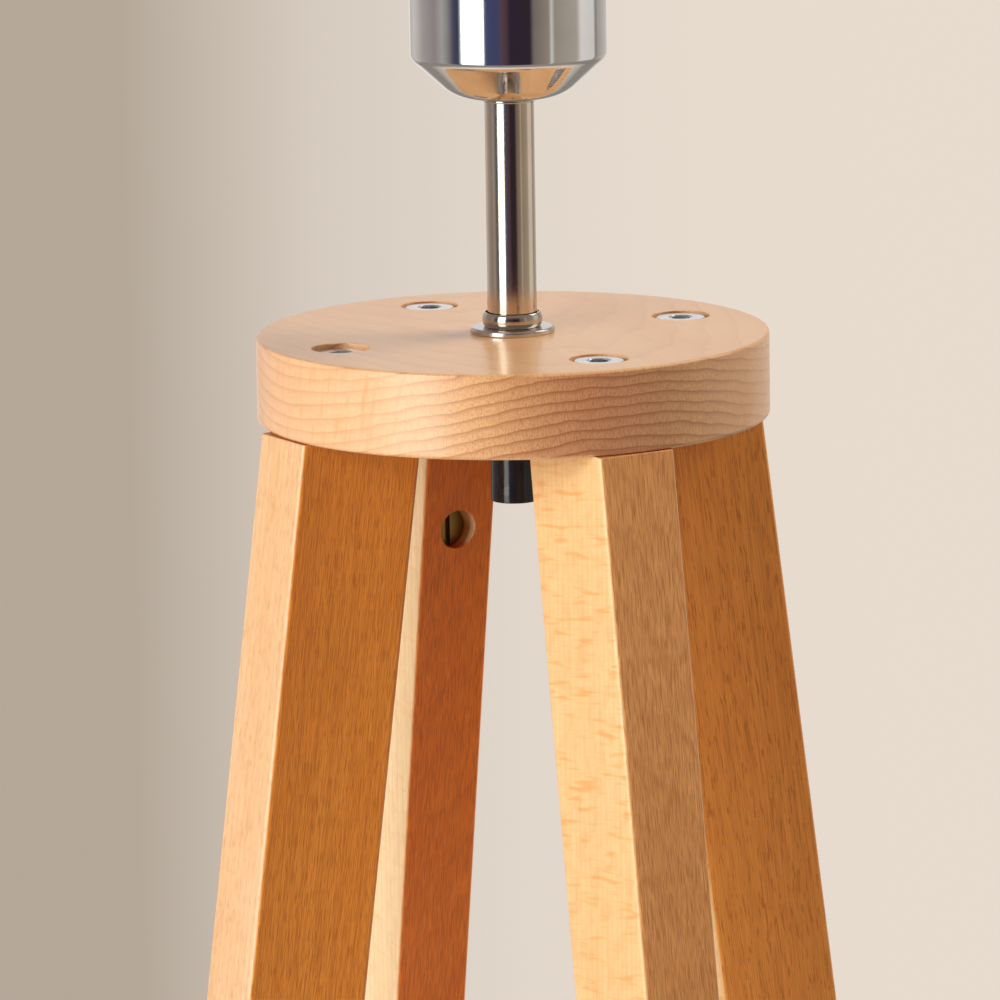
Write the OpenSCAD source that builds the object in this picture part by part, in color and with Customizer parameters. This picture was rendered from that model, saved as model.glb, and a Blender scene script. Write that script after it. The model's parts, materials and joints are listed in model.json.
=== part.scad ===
/* [Wooden base] */
// Height of the top face of the round top above the floor
base_h = 800; // [700:10:900]
// Diameter of the round top
disc_d = 182; // [178:2:200]
// Thickness of the round top
disc_t = 30; // [28:0.5:36]
// Width of a leg, measured away from the lamp's axis
leg_w = 48.3; // [44:0.1:50]
// Thickness of a leg, measured across
leg_t = 30.6; // [26:0.1:34]
// Outward lean of each leg
leg_splay = 7.75; // [5:0.05:9]
// Turn of each leg about its own bolt
leg_turn = 4.9; // [0:0.1:6]
// Rounding along the long edges of a leg
leg_edge_r = 2; // [1:0.5:4]
// Distance of the leg bolts from the lamp's axis
bolt_r = 67.3; // [65:0.1:69]

/* [Stem and cup] */
// Diameter of the stem
stem_d = 17.6; // [16:0.1:20]
// Height of the cup's flat bottom above the round top
cup_rise = 83.7; // [70:0.1:120]
// Diameter of the cup
cup_d = 69.4; // [62:0.2:76]
// Height of the cup
cup_h = 75; // [70:1:95]

/* [Sprung arm] */
// Length of the lower bars between their pivots
lower_len = 400; // [350:10:450]
// Length of the upper bars between their pivots
upper_len = 380; // [340:10:420]
// Width of the square bars
bar_w = 10; // [9:0.5:11]
// Distance between the two pivots that carry a pair of bars
pivot_gap = 28; // [26:1:30]
// Backward lean of the lower bars
lower_lean = 20; // [0:1:30]
// Climb of the upper bars above level
upper_rise = 30; // [10:1:45]

/* [Shade] */
// Diameter of the shade's mouth
shade_d = 190; // [170:5:210]
// Depth of the shade's dome
dome_h = 110; // [95:5:125]
// Diameter of the shade's neck
neck_d = 60; // [58:1:66]
// Forward lean of the shade
shade_lean = 15; // [0:1:25]

/* [Hidden] */
$fn = 64;

// small gap between pieces that are pushed together, and between a pin and what turns on it
fit = 0.05;
run = 0.08;

// base: heights and places
underside = base_h - disc_t;
// the legs stand this far proud of the round top
leg_proud = 0.8;
leg_r = disc_d / 2 - leg_w / 2 / cos(leg_splay) + leg_proud;
foot_h = 4;
glide_r = 12;
foot_pin_r = 3;
foot_pin_len = 14;
foot_r = leg_r + (underside - foot_h / 2) * tan(leg_splay);
disc_edge = 1.5;
azimuths = [45, 135, 225, 315];
// leg bolts: a flat head in a counterbore, and how far below the surface each head lies
head_r = 8.9;
head_t = 3.4;
counterbore_r = 10.35;
head_sink = [0.55, 0.55, 1.95, 0.55];
bolt_shank_r = 4;
bolt_hole_r = 4.3;
bolt_past_nut = 10;
nut_r = 7;
nut_len = 20;
nut_z = base_h - 79.9;
socket_af = 6.4;
dowel_r = 4;
dowel_len = 30;
dowel_at = bolt_r + 16;
// swivel: a nylon bush held in the round top, with the steel pin in it
bush_r = 8.45;
bush_end = base_h - 60.6;
swivel_pin_r = 6;
washer_r = 14.9;
washer_t = 2.1;
stem_z = base_h + washer_t + 0.1;
stem_r = stem_d / 2;
stem_wall = 2;
collar_h = 5.1;
collar_r = 10.65;
collar_swell = 0.7;
collar_gap = 0.8;
collar_recess = 1.8;
neck_ring_h = 1.2;

// cup: heights and walls
cup_z = base_h + cup_rise;
cup_r = cup_d / 2;
cup_wall = 1.5;
cup_foot_r = 18.6;
cup_chamfer_h = 14.5;
// roundings outside: where the flat bottom meets the cone, and where the cone meets the side
cup_foot_round = 18;
cup_side_round = 4;
cup_top = cup_z + cup_h;
lid_t = 3;
lid_top = cup_top - 2;
stem_head_h = 14;
stem_head_r = 21;
// the tube ends this far up inside the stem head
stem_in_head = 8.1;
cup_nut_r = 13.5;
cup_nut_h = 7;
// the cup's nut clears the rounding inside the cup's foot
cup_nut_lift = 0.15;
grommet_z = cup_z + 46;
grommet_r = 5;
grommet_bore = 2.6;

// arm: pivots as points in the arm's plane, [forward, up]
pin_r = 3;
plate_t = 2.5;
plate_in = bar_w / 2 + 0.5;
plate_out = plate_in + plate_t;
plate_r = 9;
bracket_h = 28;
bracket_len = 44;
bracket_foot_t = 3;
screw_at = 14;
screw_r = 2.5;
screw_head_r = 4.6;
screw_head_h = 3;
// bolt heads, hex nuts and the flanges of spring pins
dome_r = 5.5;
dome_sink = 2.8;
hex_r = 6;
hex_h = 5;
spring_y = 17;
spring_r = 6.5;
spring_bore = 4.2;
hook_ring_r = 4.2;
hook_wire_r = 1.1;
spring_pin_r = 2.5;
spring_pin_y = spring_y + 4;
lower_dir = [-sin(lower_lean), cos(lower_lean)];
upper_dir = [cos(upper_rise), sin(upper_rise)];
upper_side = [-sin(upper_rise), cos(upper_rise)];
base_a = [-pivot_gap / 2, lid_top + bracket_h];
base_b = [pivot_gap / 2, lid_top + bracket_h];
base_hook = [0, lid_top + bracket_h - 16];
elbow_a = base_a + lower_len * lower_dir;
elbow_b = base_b + lower_len * lower_dir;
upper_a = elbow_b + [-4, 26];
upper_b = upper_a + pivot_gap * upper_side;
elbow_hook = upper_a + [-26, 2];
head_a = upper_a + upper_len * upper_dir;
head_b = head_a + pivot_gap * upper_side;
tilt_at = head_a + [34, -6];
lower_hook_at = 190;
upper_hook_at = 180;
lower_hook = base_a + lower_hook_at * lower_dir;
upper_hook = upper_a + upper_hook_at * upper_dir;
knob_r = 9;
knob_h = 15;
lobe_r = 2.6;

// shade: distances below the tilt pivot, along the shade's own axis
cap_at = 36;
neck_r = neck_d / 2;
neck_h = 55;
shade_wall = 1.2;
mouth_r = shade_d / 2;
dome_at = cap_at + neck_h;
mouth_at = dome_at + dome_h;
skirt_h = 4;
cap_t = 2;
vent_at = 16;
vent_len = 9;
vent_w = 3;
nipple_r = 5;
nipple_bore = 3;
knuckle_flange_r = 13;
knuckle_r = 8;
nipple_nut_r = 9;
nipple_nut_h = 5;
holder_at = 46;
holder_r = 20;
holder_h = 54;
bulb_r = 30;
bulb_at = 142;
bulb_neck_r = 14;
switch_at = 62;
switch_r = 6;
button_r = 4;

// ---------- outlines and shapes that repeat ----------

function unit(v) = v / norm(v);
function arc(c, r, a0, a1, n = 8) =
  [for (i = [0:n]) let (a = a0 + (a1 - a0) * i / n) c + r * [cos(a), sin(a)]];
// points that round the corner b of the path a, b, c
function rounded(a, b, c, r, n = 6) =
  let (u = unit(a - b), w = unit(c - b), h = acos(u * w) / 2,
       m = b + unit(u + w) * r / sin(h), s = b + u * r / tan(h) - m, e = b + w * r / tan(h) - m,
       a0 = atan2(s.y, s.x), d = (atan2(e.y, e.x) - a0 + 540) % 360 - 180)
  [for (i = [0:n]) m + r * [cos(a0 + d * i / n), sin(a0 + d * i / n)]];

module place(p) { translate([p.x, 0, p.y]) children(); }

// a cylinder across the arm's plane, from y0 to y1
module cross_rod(r, y0, y1) { translate([0, y1, 0]) rotate([90, 0, 0]) cylinder(r = r, h = y1 - y0); }

module rounded_section(w, t, r) {
  polygon(concat(
    arc([w / 2 - r, t / 2 - r], r, 0, 90, 4), arc([r - w / 2, t / 2 - r], r, 90, 180, 4),
    arc([r - w / 2, r - t / 2], r, 180, 270, 4), arc([w / 2 - r, r - t / 2], r, 270, 360, 4)));
}

module ring(r_in, r_out, h, edge = 0.3) {
  rotate_extrude() polygon([
    [r_in, 0], [r_out - edge, 0], [r_out, edge], [r_out, h - edge], [r_out - edge, h], [r_in, h]]);
}

// ---------- wooden base ----------

// a leg's own frame: its bolt on the diagonal, and the leg turned a little about it
module leg_frame(azimuth) {
  rotate(azimuth) translate([bolt_r, 0, 0]) rotate(leg_turn) translate([-bolt_r, 0, 0]) children();
}

module leg(azimuth) {
  color("peru") leg_frame(azimuth) difference() {
    intersection() {
      translate([leg_r, 0, underside]) rotate([0, -leg_splay, 0]) translate([0, 0, -1.1 * base_h])
        linear_extrude(1.2 * base_h) rounded_section(leg_w, leg_t, leg_edge_r);
      translate([0, -leg_t, foot_h]) cube([base_h, 2 * leg_t, underside - foot_h]);
    }
    translate([bolt_r, 0, nut_z - bolt_past_nut - 2]) cylinder(r = bolt_hole_r, h = base_h);
    translate([bolt_r - leg_w, 0, nut_z]) rotate([0, 90, 0])
      cylinder(r = nut_r + 0.1, h = leg_w + nut_len / 2 + fit);
    translate([dowel_at, 0, underside - dowel_len / 2 - 0.5]) cylinder(r = dowel_r + fit, h = dowel_len);
    translate([foot_r, 0, 0]) cylinder(r = foot_pin_r + fit, h = foot_h + foot_pin_len + 1);
  }
}

module leg_front_left() { leg(225); }
module leg_front_right() { leg(315); }
module leg_back_left() { leg(135); }
module leg_back_right() { leg(45); }

module foot_glides() {
  color("dimgray") for (a = azimuths) leg_frame(a) translate([foot_r, 0, 0]) {
    rotate_extrude() polygon([
      [0, 0], [glide_r - 1.5, 0], [glide_r, 1.5], [glide_r, foot_h], [0, foot_h]]);
    cylinder(r = foot_pin_r, h = foot_h + foot_pin_len);
  }
}

module round_top() {
  r = disc_d / 2;
  color("burlywood") difference() {
    translate([0, 0, underside]) rotate_extrude($fn = 128) polygon(concat(
      [[bush_r + fit, 0]],
      arc([r - disc_edge, disc_edge], disc_edge, -90, 0, 4),
      arc([r - disc_edge, disc_t - disc_edge], disc_edge, 0, 90, 4),
      [[bush_r + fit, disc_t]]));
    for (i = [0:3]) rotate(azimuths[i]) {
      translate([bolt_r, 0, base_h - head_sink[i] - head_t]) cylinder(r = counterbore_r, h = disc_t);
      translate([bolt_r, 0, underside - 1]) cylinder(r = bolt_hole_r, h = disc_t);
    }
    for (a = azimuths) leg_frame(a) translate([dowel_at, 0, underside - 1])
      cylinder(r = dowel_r + fit, h = dowel_len / 2 + 1.5);
  }
}

// a flat head with a bevelled rim and a hex socket, its top at z = 0, and its shank
module leg_bolt(length) {
  difference() {
    union() {
      rotate_extrude() polygon([
        [0, 0], [head_r - 1.1, 0], [head_r, -0.8], [head_r, -head_t], [0, -head_t]]);
      translate([0, 0, -length]) cylinder(r = bolt_shank_r, h = length - 1);
    }
    translate([0, 0, -2.6]) rotate(15) cylinder(r = socket_af / 2 / cos(30), h = 3, $fn = 6);
  }
}

module leg_bolts() {
  color("silver") for (i = [0:3]) rotate(azimuths[i])
    translate([bolt_r, 0, base_h - head_sink[i]]) leg_bolt(base_h - head_sink[i] - nut_z + bolt_past_nut);
}

module barrel_nuts() {
  color("goldenrod") for (a = azimuths) leg_frame(a) translate([bolt_r, 0, nut_z]) difference() {
    translate([-nut_len / 2, 0, 0]) rotate([0, 90, 0]) cylinder(r = nut_r, h = nut_len);
    translate([0, 0, -10]) cylinder(r = bolt_shank_r + fit, h = 20);
    translate([-nut_len / 2 - 1, -1, -10]) cube([3, 2, 20]);
  }
}

module locating_dowels() {
  color("tan") for (a = azimuths) leg_frame(a)
    translate([dowel_at, 0, underside - dowel_len / 2]) cylinder(r = dowel_r, h = dowel_len);
}

module swivel_bush() {
  h = base_h - bush_end;
  color("black") translate([0, 0, bush_end]) rotate_extrude() polygon([
    [swivel_pin_r + run, 0], [bush_r, 0], [bush_r + 0.15, 0.3], [bush_r + 0.15, 3],
    [bush_r, 6], [bush_r, h], [swivel_pin_r + run, h]]);
}

module stem_washer() {
  color("silver") translate([0, 0, base_h]) ring(swivel_pin_r + run, washer_r, washer_t, 0.4);
}

// ---------- stem and cup, which turn together ----------

module swivel_pin() {
  color("gray") {
    translate([0, 0, bush_end + 3]) cylinder(r = swivel_pin_r, h = stem_z - bush_end - 3);
    translate([0, 0, stem_z]) cylinder(r = stem_r - stem_wall - fit, h = 45);
  }
}

module stem_tube() {
  color("gainsboro") translate([0, 0, stem_z]) difference() {
    cylinder(r = stem_r, h = lid_top - lid_t - stem_head_h + stem_in_head - 0.1 - stem_z);
    translate([0, 0, -1]) cylinder(r = stem_r - stem_wall, h = cup_top);
  }
}

// a low swell round the outside, and a recess round the stem at the top
module stem_collar() {
  half = collar_h / 2;
  lip = stem_r + collar_gap;
  color("silver") translate([0, 0, stem_z]) rotate_extrude() polygon(concat(
    [[stem_r + fit, 0]],
    [for (a = [-60:15:60]) [collar_r - 2 * collar_swell * (1 - cos(a)), half + half * sin(a) / sin(60)]],
    [[lip, collar_h], [lip, collar_h - collar_recess], [stem_r + fit, collar_h - collar_recess]]));
}

module cup_neck_ring() {
  color("silver") translate([0, 0, cup_z - neck_ring_h]) ring(stem_r + fit, stem_r + 0.9, neck_ring_h);
}

module cup_shell() {
  corner = [cup_r, cup_z + cup_chamfer_h];
  foot = [cup_foot_r, cup_z];
  // the inner wall keeps its distance from the outer one round both corners
  slope = atan2(corner.y - foot.y, corner.x - foot.x);
  inner_corner = corner + cup_wall * [-1, tan((90 - slope) / 2)];
  inner_foot = foot + cup_wall * [-tan(slope / 2), 1];
  color("silver") difference() {
    rotate_extrude($fn = 128) polygon(concat(
      [[stem_r + fit, cup_z]],
      rounded([0, cup_z], foot, corner, cup_foot_round),
      rounded(foot, corner, [cup_r, cup_top], cup_side_round),
      [[cup_r, cup_top - 0.5], [cup_r - 0.5, cup_top], [cup_r - cup_wall, cup_top]],
      rounded([cup_r - cup_wall, cup_top], inner_corner, inner_foot, cup_side_round - cup_wall),
      rounded(inner_corner, inner_foot, [0, inner_foot.y], cup_foot_round - cup_wall),
      [[stem_r + fit, cup_z + cup_wall]]));
    translate([-cup_r - 5, 0, grommet_z]) rotate([0, 90, 0]) cylinder(r = grommet_r + fit, h = 15);
  }
}

module cup_nut() {
  color("darkgray") translate([0, 0, cup_z + cup_wall + cup_nut_lift]) difference() {
    cylinder(r = cup_nut_r, h = cup_nut_h, $fn = 6);
    translate([0, 0, -1]) cylinder(r = stem_r + fit, h = cup_nut_h + 2);
  }
}

module screw_holes(z, h) {
  for (x = [-screw_at, screw_at]) translate([x, 0, z]) cylinder(r = screw_r + fit, h = h);
}

module stem_head() {
  color("gray") translate([0, 0, lid_top - lid_t - stem_head_h]) difference() {
    cylinder(r = stem_head_r, h = stem_head_h);
    translate([0, 0, -1]) cylinder(r = stem_r + fit, h = stem_in_head + 1);
    screw_holes(2, stem_head_h);
  }
}

module cup_lid() {
  color("silver") translate([0, 0, lid_top - lid_t]) difference() {
    ring(0, cup_r - cup_wall - 0.1, lid_t);
    screw_holes(-1, lid_t + 2);
  }
}

module cable_grommet() {
  // its neck passes through the wall, and its rounded collar stands outside it
  inside = 3.5;
  collar = grommet_r + 2.5;
  color("black") translate([inside - cup_r, 0, grommet_z]) rotate([0, -90, 0]) rotate_extrude() polygon([
    [grommet_bore, 0], [grommet_r, 0], [grommet_r, inside + 0.2], [collar, inside + 0.2],
    [collar, inside + 1.5], [collar - 1.5, inside + 4], [grommet_r - 1, inside + 4.5],
    [grommet_bore, inside + 4.5]]);
}

module pivot_bracket() {
  color("silver") difference() {
    union() {
      translate([-bracket_len / 2, -plate_out, lid_top]) cube([bracket_len, 2 * plate_out, bracket_foot_t]);
      for (y = [-plate_out, plate_in]) hull() {
        for (p = [base_a, base_b]) place(p) cross_rod(plate_r, y, y + plate_t, $fn = 32);
        translate([-bracket_len / 2, y, lid_top]) cube([bracket_len, plate_t, bracket_foot_t]);
      }
    }
    for (p = [base_a, base_b]) place(p) cross_rod(pin_r + fit, -20, 20);
    place(base_hook) cross_rod(spring_pin_r + fit, -20, 20);
    screw_holes(lid_top - 1, bracket_foot_t + 2);
  }
}

module bracket_screws() {
  screw_len = 14;
  color("gray") for (x = [-screw_at, screw_at]) translate([x, 0, lid_top + bracket_foot_t]) difference() {
    union() {
      ring(0, screw_head_r, screw_head_h, 0.8);
      translate([0, 0, -screw_len]) cylinder(r = screw_r, h = screw_len + 1);
    }
    translate([0, 0, screw_head_h / 2]) cylinder(r = 1.7, h = screw_head_h, $fn = 6);
  }
}

// ---------- sprung arm ----------

// a square tube with solid round ends, from one pivot up to the other, and a cross hole for a pin
module bar(length, hook = 0) {
  half = bar_w / 2;
  wall = 1;
  plug_len = 12;
  difference() {
    union() {
      translate([-half, -half, 0]) cube([bar_w, bar_w, length]);
      for (z = [0, length]) translate([0, 0, z]) cross_rod(half, -half, half);
    }
    for (z = [0, length]) translate([0, 0, z]) cross_rod(pin_r + run, -bar_w, bar_w);
    translate([wall - half, wall - half, plug_len])
      cube([bar_w - 2 * wall, bar_w - 2 * wall, length - 2 * plug_len]);
    if (hook > 0) translate([0, 0, hook]) cross_rod(spring_pin_r + fit, -bar_w, bar_w);
  }
}

// a domed head on one side, and a hex nut on the other, or a longer thread for a knob
module pivot_bolt(knob = false) {
  end = plate_out + (knob ? knob_h - 3 : hex_h + 1);
  cross_rod(pin_r, -end, plate_out + 0.5);
  translate([0, plate_out, 0]) rotate([-90, 0, 0])
    rotate_extrude() polygon(concat([[0, 0], [dome_r, 0]], arc([0, -dome_sink], dome_r * 1.2, 35, 90, 6)));
  if (!knob) translate([0, -plate_out, 0]) rotate([90, 0, 0]) cylinder(r = hex_r, h = hex_h, $fn = 6);
}

// a pin with a flange at each end that keeps the spring hooks on it
module spring_pin() {
  flange_t = 1.5;
  cross_rod(spring_pin_r, -spring_pin_y, spring_pin_y);
  for (y = [-spring_pin_y, spring_pin_y - flange_t]) cross_rod(spring_pin_r + 1.5, y, y + flange_t);
}

// the outer shape of a coil spring between two hooks, seen as a sleeve with an eye at each end
module spring(from, to, side, lead) {
  d = to - from;
  span = norm(d);
  tail = 25;
  color("lightgray") translate([from.x, side * spring_y, from.y]) rotate([0, atan2(d.x, d.y), 0]) {
    difference() {
      translate([0, 0, lead]) cylinder(r = spring_r, h = span - lead - tail);
      translate([0, 0, lead + 1.5]) cylinder(r = spring_bore, h = span - lead - tail - 3);
    }
    for (end = [[0, 1, lead], [span, -1, tail]]) translate([0, 0, end[0]]) {
      rotate([90, 0, 0]) rotate_extrude($fn = 32) translate([hook_ring_r, 0]) circle(hook_wire_r, $fn = 16);
      rotate([end[1] > 0 ? 0 : 180, 0, 0]) translate([0, 0, hook_ring_r])
        cylinder(r = hook_wire_r, h = end[2] - hook_ring_r + 0.5, $fn = 16);
    }
  }
}

module elbow_plate(y) {
  color("silver") difference() {
    hull() for (p = [elbow_a, elbow_b, upper_a, upper_b, elbow_hook])
      place(p) cross_rod(plate_r, y, y + plate_t, $fn = 32);
    for (p = [elbow_a, elbow_b, upper_a, upper_b]) place(p) cross_rod(pin_r + fit, -20, 20);
    place(elbow_hook) cross_rod(spring_pin_r + fit, -20, 20);
  }
}

module head_plate(y) {
  color("silver") difference() {
    hull() for (p = [head_a, head_b, tilt_at]) place(p) cross_rod(plate_r, y, y + plate_t, $fn = 32);
    for (p = [head_a, head_b, tilt_at]) place(p) cross_rod(pin_r + fit, -20, 20);
  }
}

// a grip with six lobes and a blind bore, on the end of a pivot bolt
module knob() {
  color("black") translate([0, -plate_out - 0.2, 0]) rotate([90, 0, 0]) difference() {
    union() {
      ring(0, knob_r, knob_h, 1.5);
      for (a = [0:60:300]) rotate(a) translate([knob_r - 0.5, 0, 3]) cylinder(r = lobe_r, h = knob_h - 5);
    }
    translate([0, 0, -1]) cylinder(r = pin_r + run, h = knob_h - 1);
  }
}

module base_pivot_bolts() { color("silver") for (p = [base_a, base_b]) place(p) pivot_bolt(); }
module bracket_spring_pin() { color("silver") place(base_hook) spring_pin(); }
module lower_bar() { color("silver") place(base_a) rotate([0, -lower_lean, 0]) bar(lower_len, lower_hook_at); }
module lower_link_bar() { color("silver") place(base_b) rotate([0, -lower_lean, 0]) bar(lower_len); }
module lower_spring_pin() { color("silver") place(lower_hook) spring_pin(); }
module lower_spring_left() { spring(base_hook, lower_hook, -1, 38); }
module lower_spring_right() { spring(base_hook, lower_hook, 1, 38); }
module elbow_plate_left() { elbow_plate(-plate_out); }
module elbow_plate_right() { elbow_plate(plate_in); }
module elbow_bolts() {
  color("silver") {
    place(elbow_a) pivot_bolt(true);
    for (p = [elbow_b, upper_a, upper_b]) place(p) pivot_bolt();
  }
}
module elbow_spring_pin() { color("silver") place(elbow_hook) spring_pin(); }
module elbow_knob() { place(elbow_a) knob(); }
module upper_bar() { color("silver") place(upper_a) rotate([0, 90 - upper_rise, 0]) bar(upper_len, upper_hook_at); }
module upper_link_bar() { color("silver") place(upper_b) rotate([0, 90 - upper_rise, 0]) bar(upper_len); }
module upper_spring_pin() { color("silver") place(upper_hook) spring_pin(); }
module upper_spring_left() { spring(elbow_hook, upper_hook, -1, 48); }
module upper_spring_right() { spring(elbow_hook, upper_hook, 1, 48); }
module head_plate_left() { head_plate(-plate_out); }
module head_plate_right() { head_plate(plate_in); }
module head_bolts() {
  color("silver") {
    place(tilt_at) pivot_bolt(true);
    for (p = [head_a, head_b]) place(p) pivot_bolt();
  }
}
module head_knob() { place(tilt_at) knob(); }

// ---------- shade, drawn hanging straight down from the tilt pivot, then leaned ----------

module shade_frame() { place(tilt_at) rotate([0, -shade_lean, 0]) children(); }

module shade_knuckle() {
  color("silver") shade_frame() difference() {
    union() {
      cross_rod(knuckle_r, -bar_w / 2, bar_w / 2);
      translate([-knuckle_r, -bar_w / 2, 4 - cap_at]) cube([2 * knuckle_r, bar_w, cap_at - 4]);
      translate([0, 0, cap_t - cap_at]) ring(0, knuckle_flange_r, 4 - cap_t + 0.5, 0.5);
      translate([0, 0, -holder_at]) cylinder(r = nipple_r, h = holder_at - cap_at + 5);
    }
    cross_rod(pin_r + run, -bar_w, bar_w);
    translate([0, 0, -holder_at - 1]) cylinder(r = nipple_bore, h = holder_at - 14);
  }
}

module shade() {
  // a straight neck, an elliptic dome and a short skirt with a rolled lip
  steps = [0:5:90];
  outer = [for (a = steps) [neck_r + (mouth_r - neck_r) * sin(a), dome_h * cos(a) - mouth_at]];
  inner = [for (a = steps) [neck_r + (mouth_r - neck_r - shade_wall) * sin(90 - a),
                            (dome_h - shade_wall) * cos(90 - a) - mouth_at]];
  lip = [mouth_r - shade_wall / 2, -mouth_at - skirt_h];
  color("silver") shade_frame() difference() {
    rotate_extrude($fn = 128) polygon(concat(
      [[neck_r, -cap_at]], outer, arc(lip, 1.2, 60, -240, 8), inner,
      [[neck_r - shade_wall, -dome_at - shade_wall], [neck_r - shade_wall, -cap_at]]));
    translate([-neck_r - 5, 0, -switch_at]) rotate([0, 90, 0]) cylinder(r = switch_r + fit, h = 10);
  }
}

module neck_cap() {
  color("silver") shade_frame() translate([0, 0, -cap_at]) difference() {
    ring(0, neck_r, cap_t, 0.6);
    translate([0, 0, -1]) cylinder(r = nipple_r + fit, h = cap_t + 2);
    for (a = [0:45:315]) rotate(a) translate([vent_at, -vent_w / 2, -1]) cube([vent_len, vent_w, cap_t + 2]);
  }
}

module nipple_nut() {
  color("darkgray") shade_frame() translate([0, 0, -cap_at - nipple_nut_h]) difference() {
    cylinder(r = nipple_nut_r, h = nipple_nut_h, $fn = 6);
    translate([0, 0, -1]) cylinder(r = nipple_r + fit, h = nipple_nut_h + 2);
  }
}

// a shouldered cap, and below it a skirt with the socket inside
module lampholder() {
  skirt = 21;
  socket = 26;
  color("black") shade_frame() translate([0, 0, -holder_at]) rotate_extrude() polygon([
    [0, -0.1], [holder_r - 8, -0.1], [holder_r - 5, -6], [holder_r - 1.5, -12], [holder_r - 1.5, 1 - skirt],
    [holder_r, -skirt], [holder_r, -holder_h], [bulb_neck_r, -holder_h], [bulb_neck_r, -socket], [0, -socket]]);
}

// a thin closed shell: a contact, a sloping shoulder and a straight skirt
module bulb_cap() {
  top = holder_at + 27;
  r = 13.2;
  wall = 0.8;
  h = 28;
  color("silver") shade_frame() translate([0, 0, -top]) rotate_extrude() polygon([
    [0, 0], [5, 0], [r - 0.7, -5], [r, -6], [r, -h],
    [r - wall, -h], [r - wall, -6.4], [4.8, -1], [0, -1]]);
}

module bulb_glass() {
  start = holder_at + 55.1;
  wall = 1;
  color("ivory") shade_frame() rotate_extrude() polygon(concat(
    [[bulb_neck_r - 1, -start], [bulb_neck_r, -start - 6]], arc([0, -bulb_at], bulb_r, 45, -90, 12),
    arc([0, -bulb_at], bulb_r - wall, -90, 45, 12),
    [[bulb_neck_r - wall, -start - 6.4], [bulb_neck_r - 1 - wall, -start]]));
}

module switch_body() {
  color("black") shade_frame() translate([-neck_r, 0, -switch_at]) rotate([0, -90, 0]) difference() {
    union() {
      translate([0, 0, -8]) cylinder(r = switch_r, h = 8.1);
      translate([0, 0, 0.1]) ring(0, switch_r + 1.8, 2.4, 0.8);
    }
    translate([0, 0, -3.5]) cylinder(r = button_r + 0.15, h = 10);
  }
}

module switch_button() {
  color("white") shade_frame() translate([-neck_r, 0, -switch_at]) rotate([0, -90, 0])
    rotate_extrude() polygon([[0, -0.5], [button_r, -0.5], [button_r, 5], [button_r - 1, 6], [0, 6.4]]);
}

leg_front_left();
leg_front_right();
leg_back_left();
leg_back_right();
foot_glides();
round_top();
leg_bolts();
barrel_nuts();
locating_dowels();
swivel_bush();
stem_washer();
swivel_pin();
stem_tube();
stem_collar();
cup_neck_ring();
cup_shell();
cup_nut();
stem_head();
cup_lid();
cable_grommet();
pivot_bracket();
bracket_screws();
base_pivot_bolts();
bracket_spring_pin();
lower_bar();
lower_spring_pin();
lower_spring_left();
lower_spring_right();
lower_link_bar();
elbow_plate_left();
elbow_plate_right();
elbow_bolts();
elbow_spring_pin();
elbow_knob();
upper_bar();
upper_spring_pin();
upper_spring_left();
upper_spring_right();
upper_link_bar();
head_plate_left();
head_plate_right();
head_bolts();
head_knob();
shade_knuckle();
shade();
neck_cap();
nipple_nut();
lampholder();
bulb_cap();
bulb_glass();
switch_body();
switch_button();
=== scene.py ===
"""The looks of an adjustable arm floor lamp: lacquered beech base, chrome stem, cup, sprung arm and shade."""
import json
import math

import bmesh
import bpy
from mathutils import Matrix, Vector


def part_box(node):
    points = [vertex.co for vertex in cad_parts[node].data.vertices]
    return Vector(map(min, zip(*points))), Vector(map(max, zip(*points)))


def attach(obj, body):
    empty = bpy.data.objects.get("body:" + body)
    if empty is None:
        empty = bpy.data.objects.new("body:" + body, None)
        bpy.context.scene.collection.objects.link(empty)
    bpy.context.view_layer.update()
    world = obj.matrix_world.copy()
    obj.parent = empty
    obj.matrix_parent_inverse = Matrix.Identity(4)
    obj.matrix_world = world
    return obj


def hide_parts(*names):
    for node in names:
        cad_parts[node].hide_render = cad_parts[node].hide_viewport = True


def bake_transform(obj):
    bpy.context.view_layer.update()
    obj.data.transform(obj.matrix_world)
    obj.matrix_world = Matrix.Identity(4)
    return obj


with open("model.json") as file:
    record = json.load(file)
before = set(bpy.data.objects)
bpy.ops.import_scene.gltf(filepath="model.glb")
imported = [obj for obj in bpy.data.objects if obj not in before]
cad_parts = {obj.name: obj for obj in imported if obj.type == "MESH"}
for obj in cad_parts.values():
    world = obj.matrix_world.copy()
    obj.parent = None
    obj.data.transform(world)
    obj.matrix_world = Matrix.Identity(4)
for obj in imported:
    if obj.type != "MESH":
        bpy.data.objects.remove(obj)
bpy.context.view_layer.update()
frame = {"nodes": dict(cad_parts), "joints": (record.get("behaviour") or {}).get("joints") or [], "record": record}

MM = 0.001
PI = math.pi
# how many flats stand for a circle, on small pieces and on large ones
ROUND, FINE_ROUND = 128, 192

# ---------- places, from the frame ----------

top_low, top_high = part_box("round_top")
TOP = Vector((0, 0, top_high.z))
TOP_R = (top_high.x - top_low.x) / 2
TOP_T = top_high.z - top_low.z
JOINT_AT = {joint["name"]: Vector(joint["pos_m"]) for joint in frame["joints"] if "pos_m" in joint}
BODY_OF = {node: body for body, nodes in frame["record"]["behaviour"]["bodies"].items() for node in nodes}

# the camera, in radii of the round top from the middle of its upper face
CAMERA_AT = Vector((9.781, -28.947, 5.073))
CAMERA_YAW, CAMERA_PITCH, CAMERA_ROLL = (math.radians(a) for a in (-18.78, 10.64, -0.88))
CAMERA_LENS, CAMERA_SENSOR, CAMERA_REACH = 286.2, 36, 50
CAMERA_AZIMUTH = math.atan2(CAMERA_AT.y, CAMERA_AT.x)


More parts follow.
